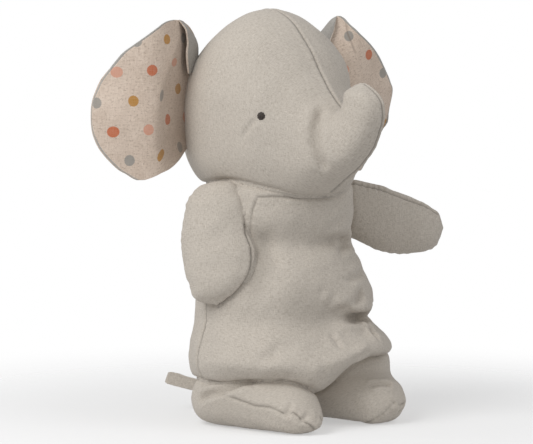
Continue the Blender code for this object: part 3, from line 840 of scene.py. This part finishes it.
# Paths of the picture, in its own pixels, where the seams and folds show.
PATHS = {
    "right_foot_seam": [(223, 394), (231, 397), (245, 402), (255, 406), (270, 407), (279, 411), (287, 415),
                        (293, 412), (298, 416), (303, 421), (310, 425), (315, 430)],
    "left_foot_seam": [(358, 427), (373, 419.5), (384, 412), (393, 403.5)],
    "left_foot_toe": [(391, 401.5), (395, 404), (399.5, 405), (404, 403)],
    "left_ankle_fold": [(366, 386), (378, 383.5), (387, 384)],
    "right_toe_fold": [(287, 415), (290, 408), (293, 401)],
    "right_toe_fold_low": [(303, 421), (306, 417), (309, 413)],
    "right_heel_fold": [(197, 401), (210, 393.5), (228, 388), (244, 384), (256, 382)],
    "belly_pinch": [(348, 243), (342, 249), (336, 256)],
    "belly_fold": [(345, 240), (330, 241), (314, 243), (302, 240)],
    "waist_pinch": [(362, 317.5), (350, 317), (334, 316), (318, 318)],
    "hip_fold": [(361, 321), (366, 327), (374, 336), (381, 345)],
    "front_fold_a": [(364, 291), (355, 303), (342, 310), (327, 316)],
    "front_fold_b": [(337, 288), (331, 303), (324, 315)],
    "front_fold_c": [(372, 350), (360, 357), (350, 359)],
    "flank_fold": [(366, 268), (358, 276), (349, 280), (338, 279)],
    "low_pleat": [(329, 331), (336, 340), (343, 350)],
    # Where the arm's shadow and the belly's shade are painted.
    "under_arm_painted_shadow": [(256, 216), (262, 243), (262, 268), (252, 290), (234, 303)],
    "belly_painted_shade": [(282, 288), (308, 312), (340, 334)],
    "arm_fold": [(262, 230), (270, 250), (280, 268), (288, 282)],
    "front_fold_d": [(318, 300), (322, 292), (331, 284)],
    "bib_seam": [(258, 197), (272, 196.5), (300, 198), (330, 197), (344, 193)],
    "bib_side": [(257, 199), (252.5, 209), (250.5, 222), (250.5, 236)],
    "bib_fold": [(347, 216), (334, 227), (318, 233)],
    "low_fold": [(252, 363), (268, 357), (284, 352)],
    "crotch_gather_a": [(297, 376), (300, 386), (303, 394)],
    "crotch_gather_b": [(313, 370), (311, 382), (308, 394)],
    "crotch_gather_c": [(286, 372), (289, 379)],
    "crotch_gather_d": [(326, 362), (323, 372), (319, 382)],
    "low_belly_shade": [(266, 356), (280, 350), (300, 352)],
    "eye_crease": [(256, 119), (250, 126), (245, 134), (241, 142)],
    "trunk_root": [(324, 104), (320, 114), (315.4, 129), (315.4, 145), (320, 159), (327, 173)],
}

# The torso's folds, in the order they are pressed in: path, depth, width, share of the path that fades
# at each end, share of the depth that the lips stand up, and how much shade is painted into the valley.
TORSO_FOLDS = [
    ("belly_pinch", 4.2, 3.4, (0.0, 0.6), 0.35, 0.25),
    ("belly_fold", 4.4, 4.6, (0.0, 0.7), 0.4, 0.12),
    ("waist_pinch", 6.0, 4.5, (0.0, 0.75), 0.5, 0.1),
    ("flank_fold", 2.0, 3.0, (0.2, 0.4), 0.4, 0.0),
    ("low_pleat", 1.6, 2.8, (0.3, 0.4), 0.4, 0.0),
    ("arm_fold", 1.6, 5.0, (0.3, 0.5), 0.2, 0.0),
    # Painted shadow of the arm on the torso, and painted shade over the belly, each with a shallow dip.
    ("under_arm_painted_shadow", 0.8, 12.0, (0.3, 0.3), 0.2, 0.42),
    ("belly_painted_shade", 0.5, 38.0, (0.3, 0.3), 0.0, 0.26),
    ("hip_fold", 2.6, 2.4, (0.0, 0.4), 0.6, 0.2),
    ("front_fold_a", 3.6, 4.0, (0.1, 0.5), 0.25, 0.12),
    ("front_fold_b", 1.2, 3.6, (0.5, 0.5), 0.2, 0.0),
    ("front_fold_c", 2.0, 2.4, (0.1, 0.5), 0.4, 0.0),
    ("front_fold_d", 1.0, 3.8, (0.4, 0.5), 0.2, 0.0),
    ("bib_fold", 1.8, 4.2, (0.3, 0.5), 0.3, 0.0),
    ("low_fold", 1.9, 4.6, (0.4, 0.4), 0.5, 0.0),
    ("crotch_gather_a", 1.1, 3.4, (0.5, 0.2), 0.35, 0.0),
    ("crotch_gather_b", 1.1, 3.4, (0.5, 0.2), 0.35, 0.0),
    ("crotch_gather_c", 1.1, 3.4, (0.5, 0.2), 0.35, 0.0),
    ("crotch_gather_d", 1.1, 3.4, (0.5, 0.2), 0.35, 0.0),
]


def relieve_head():
    form = head
    top = form.seam_distance(math.pi / 2)
    under = form.seam_distance(-math.pi / 2)
    along = form.length[form.row]
    form.push(0.45 * ripple(form.points, 46.0, 1.0) + 0.22 * ripple(form.points, 21.0, 2.0))
    # The trunk root's fold, with painted shade in it.
    form.fold(form.trace("trunk_root"), 3.4, 4.0, (0.2, 0.15), lip=0.3, dark=0.25)
    form.fold(form.trace("eye_crease"), 1.5, 2.0, (0.1, 0.4))
    form.sew(top, along, depth=0.95, pucker=0.16, pitch=6.5, seed=0.4)
    form.sew(under, along, depth=0.9, pucker=0.24, pitch=5.5, seed=1.9)
    form.nestle([torso], depth=2.2, reach=7.0)


def relieve_torso():
    form = torso
    own = form.own
    low = smooth_step(110.0, 60.0, own[:, 2])
    form.push(0.6 * ripple(form.points, 60.0, 3.0) + (0.3 + 0.4 * low) * ripple(form.points, 27.0, 4.0)
              + 0.14 * ripple(form.points, 11.0, 6.0))
    for name, depth, width, ends, lip, dark in TORSO_FOLDS:
        form.fold(form.trace(name), depth, width, ends, lip, dark)
    form.stitch_path(form.trace("bib_seam"), depth=0.7, pucker=0.25, seed=3.1)
    form.stitch_path(form.trace("bib_side"), depth=0.7, pucker=0.25, seed=3.6)
    form.fold(form.trace("low_belly_shade"), 1.4, 7.0, (0.4, 0.4))
    side = np.abs(own[:, 1] - SIDE_SEAM_Y)
    on_side = smooth_step(16.0, 30.0, np.abs(own[:, 0]))
    form.sew(side, own[:, 2], where=on_side, depth=1.0, pucker=0.3, pitch=8.0, seed=0.7)
    back = form.seam_distance(-math.pi / 2)
    form.sew(back, own[:, 2], depth=0.9, pucker=0.22, pitch=8.0, seed=2.3)
    form.nestle([head], depth=1.6, reach=6.0)
    form.nestle(arms, depth=0.5, reach=5.0)
    form.nestle(legs, depth=2.0, reach=7.0)


# The seam of the arm's inner edge lies a little on its front.
ARM_SEAM_TURN = 0.5


def relieve_arm(form, seed):
    along = form.length[form.row]
    slack = smooth_step(0.0, 30.0, along)
    form.push(slack * (0.5 * ripple(form.points, 30.0, seed) + 0.28 * ripple(form.points, 15.0, seed + 1)))
    for k, turn in enumerate((math.pi / 2, -math.pi / 2 - ARM_SEAM_TURN)):
        gap = form.seam_distance(turn)
        form.sew(gap, along, where=slack, depth=1.3, pucker=0.5, pitch=7.0, seed=seed + k)
    form.nestle([torso, head], depth=1.4, reach=5.0)


def relieve_leg(form, seed, seams):
    form.push(0.5 * ripple(form.points, 38.0, seed) + 0.25 * ripple(form.points, 18.0, seed + 1))
    for k, path in enumerate(seams):
        form.stitch_path(path, depth=0.9, pucker=0.3, seed=seed + k)
    form.nestle([torso], depth=1.6, reach=6.0)


right_outer = leg_right.trace("right_foot_seam")
left_inner = leg_left.trace("left_foot_seam")
left_toe = leg_left.trace("left_foot_toe")

relieve_head()
relieve_torso()
relieve_arm(arm_right, 5.0)
relieve_arm(arm_left, 8.0)
# The ankle's fold, with painted shade in it.
leg_left.fold(leg_left.trace("left_ankle_fold"), 2.6, 2.6, (0.3, 0.0), lip=0.5, dark=0.15)
leg_right.fold(leg_right.trace("right_toe_fold"), 1.4, 2.2, (0.0, 0.5))
leg_right.fold(leg_right.trace("right_toe_fold_low"), 1.3, 2.0, (0.0, 0.5))
# The heel's fold, with painted shade in it.
leg_right.fold(leg_right.trace("right_heel_fold"), 3.2, 3.0, (0.15, 0.1), lip=0.5, dark=0.3)
relieve_leg(leg_right, 11.0, [right_outer, mirrored(left_inner, leg_right, leg_left)])
relieve_leg(leg_left, 14.0, [left_inner, left_toe, mirrored(right_outer, leg_left, leg_right)])


def dress(form, body, nodes, floor=False):
    """Finish a form as a padded cover that stands for a body's panels and filling."""
    obj = form.finish(floor=floor)
    obj.data.materials.append(LINEN)
    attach(obj, body)
    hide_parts(*nodes)


dress(torso, "torso", ("torso_front_panel", "torso_back_right_panel", "torso_back_left_panel",
                       "torso_filling", "pellet_pouch"))
dress(head, "head", ("head_right_panel", "head_left_panel", "head_filling"))
for form, arm in ((arm_right, "arm_right"), (arm_left, "arm_left")):
    dress(form, arm, (f"{arm}_front_panel", f"{arm}_back_panel", f"{arm}_filling"))
for form, leg in ((leg_right, "leg_right"), (leg_left, "leg_left")):
    dress(form, leg, (f"{leg}_upper_panel", f"{leg}_sole_panel", f"{leg}_filling"), floor=True)

# ---------------------------------------------------------------- the ears
# A layer's thickness, how far its face stands off the ear's middle, how much the front's edge is let out
# and the back's taken in below the top, and how much the back's is let out along the top.
EAR_LAYER = 1.1
EAR_STEP = 0.72
EAR_EDGE_STEP = 0.45
EAR_TOP_GROWTH = 0.9
EAR_COLUMNS, EAR_RINGS = 96, 104


def ear_plan(distance):
    """Places out and back of the ear's cloth at distances from its root."""
    knots = np.array([row[0] for row in EAR_PLAN], float)
    span = np.clip(np.searchsorted(knots, distance, side="right") - 1, 0, len(knots) - 2)
    index = span + (distance - knots[span]) / (knots[span + 1] - knots[span])
    found = catmull_rom(EAR_PLAN, index)
    return found[..., 1], found[..., 2]


def ear_sheet_points(side, distance, height, offset):
    """Places on an ear's cloth, in the elephant's axes, a little in front of or behind its middle."""
    out, back = ear_plan(distance)
    ahead_out, ahead_back = ear_plan(distance + 1.0)
    normal = np.stack([ahead_back - back, out - ahead_out], -1)
    normal /= np.linalg.norm(normal, axis=-1, keepdims=True)
    wave = 1.1 * np.sin(distance / 17.0 + height / 23.0 + side)
    wave += 0.7 * np.sin(height / 11.0 - distance / 31.0)
    shift = offset + 0.8 * wave * smooth_step(0.0, 25.0, distance)
    out = out + normal[..., 0] * shift
    back = back + normal[..., 1] * shift
    if side == LEFT:
        level, turn = zip(*LEFT_EAR_TWIST)
        angle = -np.radians(np.interp(height, level, turn)) * smooth_step(-15.0, 10.0, distance)
        out_gap, back_gap = out - EAR_AXIS[0], back - EAR_AXIS[1]
        out = EAR_AXIS[0] + out_gap * np.cos(angle) - back_gap * np.sin(angle)
        back = EAR_AXIS[1] + out_gap * np.sin(angle) + back_gap * np.cos(angle)
    return np.stack([side * out, back, height], -1)


# The left lining is cut from the same cloth, turned so that its dots run down the outer edge.
LEFT_DOTS_TURN = math.radians(24.5)
LEFT_DOTS_FROM = np.array([-58.5, 300.5])
LEFT_DOTS_TO = np.array([78.85, 239.1])
# How far the cloth's print is shifted in the hollow beside the head, by height.
HOLLOW_SHIFT = [(222, 0.0), (242, -7.0), (275, -6.0), (300, 0.0)]


def cloth_place(side, distance, height):
    """Where a point of an ear lies on the flat printed cloth, in millimetres."""
    taken_up = smooth_step(44.0, 29.0, distance)
    flat = np.stack([distance + taken_up * np.interp(height, *zip(*HOLLOW_SHIFT)),
                     height - 6.5 * taken_up * smooth_step(316.0, 285.0, height)], -1)
    if side == LEFT:
        flat = np.stack([-distance, height], -1) - LEFT_DOTS_FROM
        turn = np.array([[math.cos(LEFT_DOTS_TURN), -math.sin(LEFT_DOTS_TURN)],
                         [math.sin(LEFT_DOTS_TURN), math.cos(LEFT_DOTS_TURN)]])
        flat = flat @ turn.T + LEFT_DOTS_TO
    return flat


def ear_grid(side, offset, grow):
    """Points of an ear's layer on a grid of rows and columns, and their flat cloth places."""
    ear_rows = LEFT_EAR_ROWS if side == LEFT else RIGHT_EAR_ROWS
    rows, cols = np.meshgrid(np.linspace(0, 1, EAR_RINGS + 1), np.linspace(0, 1, EAR_COLUMNS + 1),
                             indexing="ij")
    height, inner, outer = np.moveaxis(catmull_rom(ear_rows, rows * (len(ear_rows) - 1)), -1, 0)
    distance = inner + (outer - inner) * cols
    edge_gap = np.minimum((1 - cols) * (outer - inner), np.minimum(rows, 1 - rows) * 130.0)
    rim = smooth_step(0.6, 1.0, cols)
    upper = smooth_step(280.0, 300.0, height)
    edge_step = math.copysign(EAR_EDGE_STEP, offset)
    distance = distance + rim * (grow * upper + edge_step * (1 - upper))
    merge = 0.35 + 0.65 * smooth_step(0.0, 3.0, edge_gap)
    points = ear_sheet_points(side, distance, height, offset * merge)
    return points, cloth_place(side, distance, height), edge_gap, np.stack([distance, height], -1)


# Where the painted shade of the hollow beside the head ends, as a distance from the root at each height.
HOLLOW_EDGE = [(206, 32), (227, 46), (245, 46), (262, 43), (280, 36), (300, 24), (320, 8)]
# The line of painted shade along the ridge below the left ear's folded corner: distance and height, from the
# top down.
LEFT_RIDGE = np.array([(34.5, 328.0), (36.0, 319.0), (40.5, 309.0), (44.0, 300.0)])


def ear_shade(side, flat):
    """Painted shade on the lining: in the hollow beside the head, and along a ridge that creases it."""
    distance, height = flat[..., 0], flat[..., 1]
    edge = np.interp(height, *zip(*HOLLOW_EDGE))
    hollow = 0.42 * smooth_step(2.5, -4.5, distance - edge) * smooth_step(204.0, 225.0, height)
    if side == RIGHT:
        return hollow
    along = np.interp(height, LEFT_RIDGE[::-1, 1], LEFT_RIDGE[::-1, 0])
    ridge = 0.6 * np.exp(-((distance - along) / 0.9) ** 2) * smooth_step(299.0, 306.0, height)
    return np.maximum(hollow * 0.6, ridge)


def thicken(mesh):
    """A piece of cloth with a layer's thickness behind its face."""
    obj = link_object(mesh)
    solid = obj.modifiers.new("cloth", "SOLIDIFY")
    solid.thickness = EAR_LAYER * MM
    solid.offset = -1.0
    return obj


def make_ear_layer(name, side, offset, grow, place, material):
    points, flat, edge_gap, flat_places = ear_grid(side, offset, grow)
    bm = bmesh.new()
    bmesh.ops.create_grid(bm, x_segments=EAR_COLUMNS, y_segments=EAR_RINGS, size=1.0)
    co = np.array([vert.co for vert in bm.verts])
    col = np.rint((co[:, 0] + 1) / 2 * EAR_COLUMNS).astype(int)
    row = np.rint((co[:, 1] + 1) / 2 * EAR_RINGS).astype(int)
    placed = place(points[row, col])
    for vert, point in zip(bm.verts, placed):
        vert.co = point * MM
    bm.normal_update()
    front = sum(face.normal.y for face in bm.faces)
    if (front > 0) == (offset > 0):
        bmesh.ops.reverse_faces(bm, faces=bm.faces)
    mesh = to_mesh(bm, name)
    verts = loop_verts(mesh)
    lay_uv(mesh, flat[row[verts], col[verts]])
    # Painted shade along the ear's sewn edge, and on the front in the hollow and along the ridge.
    ear_painted_shade = 0.25 * np.exp(-(edge_gap[row, col] / 0.8) ** 2)
    if offset > 0:
        ear_painted_shade = np.maximum(ear_painted_shade, ear_shade(side, flat_places[row, col]))
    lay_painted_shade(mesh, ear_painted_shade)
    mesh.shade_smooth()
    mesh.materials.append(material)
    return thicken(mesh)


def flat_area(ear_rows):
    """The area of an ear's cloth laid flat, in square metres."""
    rows = np.linspace(0, 1, 400) * (len(ear_rows) - 1)
    height, inner, outer = np.moveaxis(catmull_rom(ear_rows, rows), -1, 0)
    return float(np.sum((outer - inner)[:-1] * np.diff(height))) * MM * MM


# The corner of each ear at its top is folded forwards: the free edge of the fold and the fold
# itself, from the top down, as places on the cloth (distance, height).
PLEATS = {
    "right": (((13.0, 328.8), (10.5, 324.0), (8.5, 317.0), (7.0, 310.0), (9.0, 302.0), (7.5, 292.0),
               (5.0, 285.0)),
              ((12.5, 329.0), (1.0, 325.0), (-7.0, 319.0), (-15.0, 313.0), (-19.5, 306.0), (-17.0, 296.0),
               (-6.0, 286.0))),
    "left": (((27.0, 333.0), (26.0, 328.0), (25.0, 321.5), (23.5, 316.5), (22.5, 313.0), (17.0, 303.0)),
             ((26.6, 333.3), (22.0, 330.0), (16.0, 322.0), (10.0, 314.0), (4.0, 304.0), (-4.0, 292.0))),
}
PLEAT_RISE = {"right": 4.5, "left": 2.5}


def make_pleat(word, side, place):
    """The folded corner: its outside is the ear's back cloth, edged with a roll of the lining."""
    free, fold = (np.array(line) for line in PLEATS[word])
    rows, cols = 40, 16
    bm = bmesh.new()
    bmesh.ops.create_grid(bm, x_segments=cols, y_segments=rows, size=1.0)
    co = np.array([vert.co for vert in bm.verts])
    across, down = (co[:, 0] + 1) / 2, (co[:, 1] + 1) / 2
    on_free = catmull_rom(free, down * (len(free) - 1))
    on_fold = catmull_rom(fold, down * (len(fold) - 1))
    flat = on_free + (on_fold - on_free) * across[:, None]
    lift = PLEAT_RISE[word] * smooth_step(0.0, 0.3, down) * (1 - across) ** 0.8
    lift += 1.6 * np.sin(across * math.pi) * smooth_step(0.0, 0.3, down)
    points = place(ear_sheet_points(side, flat[:, 0], flat[:, 1], EAR_STEP + 1.2 + lift))
    for vert, point in zip(bm.verts, points):
        vert.co = point * MM
    bm.normal_update()
    toward = sum(face.normal.dot(Vector(VIEW_BACK)) for face in bm.faces)
    if toward < 0:
        bmesh.ops.reverse_faces(bm, faces=bm.faces)
    for face in bm.faces:
        if min(across[vert.index] for vert in face.verts) < 0.01:
            face.material_index = 1
    mesh = to_mesh(bm, f"ear_{word}_pleat")
    lay_uv(mesh, flat[loop_verts(mesh)])
    # Painted shade along the lining's roll, and more toward the fold, where the corner lies in shade.
    pleat_seam_shade = 0.5 * np.exp(-((across - 0.13) / 0.04) ** 2)
    lay_painted_shade(mesh, np.maximum(pleat_seam_shade, 0.15 + 0.35 * across))
    mesh.shade_smooth()
    mesh.materials.append(EAR_LINEN_PAINTED_SHADE)
    mesh.materials.append(PLAIN_LINING)
    return thicken(mesh)


# Each ear's folded corner and its two layers; the area of its cloth laid flat is worked out and not used.
for word, side, forward in (("right", RIGHT, 0.0), ("left", LEFT, LEFT_EAR_FORWARD)):
    place = ear_place(side, forward)
    area = flat_area(LEFT_EAR_ROWS if side == LEFT else RIGHT_EAR_ROWS)
    pleat = make_pleat(word, side, place)
    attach(pleat, f"ear_{word}")
    for layer, offset, grow, material, slot in (("front", EAR_STEP, 0.0, LINING, "dotted_lining"),
                                                ("back", -EAR_STEP, EAR_TOP_GROWTH, EAR_LINEN_PAINTED_SHADE, "linen")):
        ear = make_ear_layer(f"ear_{word}_{layer}_cloth", side, offset, grow, place, material)
        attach(ear, f"ear_{word}")
        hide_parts(f"ear_{word}_{layer}")

# ---------------------------------------------------------------- eyes
FAR_SIDE = 400.0


def make_eye(name, side):
    """A knot of thread, wound over and over in one direction, standing on the cloth."""
    start = Vector(BODY(np.array([side * FAR_SIDE, EYE_FORWARD, EYE_HEIGHT])))
    base = head.make_tree()
    place, normal, _, _ = base.ray_cast(start, Vector((-side, 0, 0)))
    bm = bmesh.new()
    bmesh.ops.create_uvsphere(bm, u_segments=64, v_segments=40, radius=1.0)
    for vert in bm.verts:
        x, y, z = vert.co
        strand = abs(math.sin(x * 10.5 + 0.5 * math.sin(y * 4.0)))
        puff = 1.0 + 0.07 * strand
        edge = 1.0 + 0.05 * math.sin(math.atan2(y, x) * 9.0)
        vert.co = (x * EYE_RADIUS * edge, y * EYE_RADIUS * 1.04 * edge, z * 2.1 * puff)
    turn = normal.to_track_quat("Z", "Y").to_matrix().to_4x4()
    bmesh.ops.transform(bm, verts=bm.verts, matrix=Matrix.Translation(place - normal * 0.3) @ turn)
    bmesh.ops.scale(bm, verts=bm.verts, vec=(MM, MM, MM))
    mesh = to_mesh(bm, name)
    mesh.shade_smooth()
    mesh.materials.append(EYE_THREAD)
    return link_object(mesh)


for word, side in (("right", RIGHT), ("left", LEFT)):
    eye = make_eye(f"eye_{word}_knot", side)
    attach(eye, "head")
    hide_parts(f"eye_{word}")

# ---------------------------------------------------------------- tail
TAIL_LENGTH, TAIL_WIDTH, TAIL_THICKNESS, TAIL_TURN = 74.0, 10.5, 2.2, 42.0
TAIL_ROOT = np.array([0.26, 57.31, 21.5])
# How far the tail's end is sewn in, and where its rows of stitches run from its middle.
TAIL_SEWN_IN = 3.0
TAIL_STITCHES = 3.4


def make_tail():
    """A strip of linen folded in on itself and sewn shut, so one long edge is a fold."""
    bm = bmesh.new()
    bmesh.ops.create_cube(bm, size=1.0)
    bmesh.ops.bevel(bm, geom=bm.edges[:], offset=0.12, segments=2, profile=0.6, affect="EDGES")
    bmesh.ops.subdivide_edges(bm, edges=bm.edges[:], cuts=5, use_grid_fill=True)
    bmesh.ops.triangulate(bm, faces=[face for face in bm.faces if len(face.verts) > 4])
    turn = math.radians(TAIL_TURN)
    uv_places = []
    for vert in bm.verts:
        x, y, z = vert.co
        along = (y + 0.5) * TAIL_LENGTH - TAIL_SEWN_IN
        across = z * TAIL_WIDTH
        row = math.exp(-((abs(across) - TAIL_STITCHES) / 0.5) ** 2)
        thick = x * TAIL_THICKNESS * (1.0 - 0.25 * row) + 0.9 * math.sin(along / 17.0)
        rise = 0.24 * max(along - 42.0, 0.0)
        along -= 0.35 * (across + TAIL_WIDTH / 2) * (along > TAIL_LENGTH - 12.0)
        uv_places.append((across, along))
        vert.co = ((math.cos(turn) * thick - math.sin(turn) * along) * MM,
                   (math.sin(turn) * thick + math.cos(turn) * along) * MM,
                   (across + rise) * MM)
    bmesh.ops.translate(bm, verts=bm.verts, vec=Vector(TAIL_ROOT) * MM)
    mesh = to_mesh(bm, "tail_strip")
    places = np.array(uv_places)
    lay_uv(mesh, places[loop_verts(mesh)])
    # Painted shade along the rows of stitches.
    lay_painted_shade(mesh, 0.5 * np.exp(-((np.abs(places[:, 0]) - TAIL_STITCHES) / 0.4) ** 2))
    mesh.shade_smooth()
    mesh.materials.append(LINEN)
    return link_object(mesh)


tail = make_tail()
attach(tail, "tail")
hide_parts("tail_strap")


# ---------------------------------------------------------------- stage and light
# The floor shows fully out to the first distance from the middle and is gone at the second, in metres;
# the share is how much of it shows at most.
FLOOR_SOLID, FLOOR_GONE, FLOOR_SHARE = 0.16, 0.55, 0.6
FLOOR_LEVEL = -0.0004
ROOM_LIGHT = (0.45, 0.45, 0.455, 1.0)
LIGHTS_AIM = (0.0, 0.0, 0.16)
# Name, azimuth, elevation, distance, size and power of each light.
LIGHTS = [
    ("key", -84.0, 38.0, 1.7, 1.1, 16.0),
    ("low", -60.0, 12.0, 2.2, 1.6, 2.5),
    ("right", 25.0, 40.0, 2.0, 1.4, 6.0),
]


def make_floor():
    """A pale floor that takes the shadow and fades out into the white behind."""
    bm = bmesh.new()
    bmesh.ops.create_grid(bm, x_segments=1, y_segments=1, size=1.0)
    mesh = to_mesh(bm, "floor")
    shader = Shader("pale_floor", roughness=0.9)
    shader.surface.inputs["Base Color"].default_value = (0.93, 0.93, 0.93, 1.0)
    shader.surface.inputs["Specular IOR Level"].default_value = 0.0
    reach = shader.node("ShaderNodeVectorMath", {"operation": "LENGTH"}, output=1, _0=shader.object_place())
    shader.feed(shader.surface.inputs["Alpha"], reach.between(FLOOR_GONE, FLOOR_SOLID) * FLOOR_SHARE)
    mesh.materials.append(shader.material)
    floor = link_object(mesh)
    floor.location = (0, 0, FLOOR_LEVEL)


def make_light(name, azimuth, elevation, distance, size, power):
    """A soft round light aimed at the elephant's middle."""
    data = bpy.data.lights.new(name, "AREA")
    data.shape = "DISK"
    data.size = size
    data.energy = power
    light = bpy.data.objects.new(name, data)
    a, e = math.radians(azimuth), math.radians(elevation)
    back = Vector((math.sin(a) * math.cos(e), -math.cos(a) * math.cos(e), math.sin(e)))
    light.location = Vector(LIGHTS_AIM) + back * distance
    light.rotation_mode = "QUATERNION"
    light.rotation_quaternion = (-back).to_track_quat("-Z", "Y")
    bpy.context.scene.collection.objects.link(light)


def make_world():
    """An even room light, seen as white by the camera."""
    world = bpy.data.worlds.new("white_room")
    bpy.context.scene.world = world
    world.use_nodes = True
    tree = world.node_tree
    background = tree.nodes["Background"]
    background.inputs["Color"].default_value = ROOM_LIGHT
    background.inputs["Strength"].default_value = 1.0
    seen = tree.nodes.new("ShaderNodeBackground")
    seen.inputs["Color"].default_value = (1, 1, 1, 1)
    seen.inputs["Strength"].default_value = 1.0
    path = tree.nodes.new("ShaderNodeLightPath")
    mix = tree.nodes.new("ShaderNodeMixShader")
    tree.links.new(path.outputs["Is Camera Ray"], mix.inputs[0])
    tree.links.new(background.outputs[0], mix.inputs[1])
    tree.links.new(seen.outputs[0], mix.inputs[2])
    tree.links.new(mix.outputs[0], tree.nodes["World Output"].inputs["Surface"])


make_floor()
make_world()
for light_row in LIGHTS:
    make_light(*light_row)
bpy.context.scene.view_settings.view_transform = "Standard"
